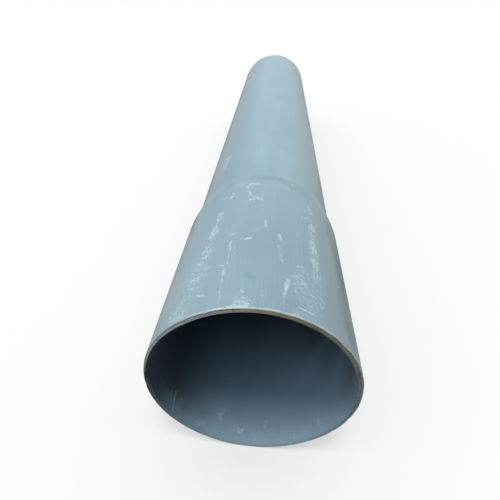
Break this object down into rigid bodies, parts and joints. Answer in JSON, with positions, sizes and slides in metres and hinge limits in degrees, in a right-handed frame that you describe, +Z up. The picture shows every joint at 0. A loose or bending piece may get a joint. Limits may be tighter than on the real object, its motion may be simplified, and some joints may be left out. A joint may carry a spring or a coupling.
{
  "type": "pvc borewell casing pipe",
  "caption": "Round grey-blue PVC pipe that lines a borewell, with a blown-out socket that takes the next pipe's bevelled spigot.",
  "frame": {"origin": "on the floor that the pipe lies on, under the middle of its length", "axes": "+Y along the pipe from the socket's mouth to the spigot, +Z up from the floor, +X to the right as seen from the socket's end"},
  "size_m": [0.1902, 1.15, 0.1902],
  "materials": {
    "rigid_pvc": "grey-blue extruded PVC, satin, scuffed white in handling"
  },
  "bodies": {
    "root": {"casing_pipe": "rigid_pvc"}
  },
  "joints": []
}
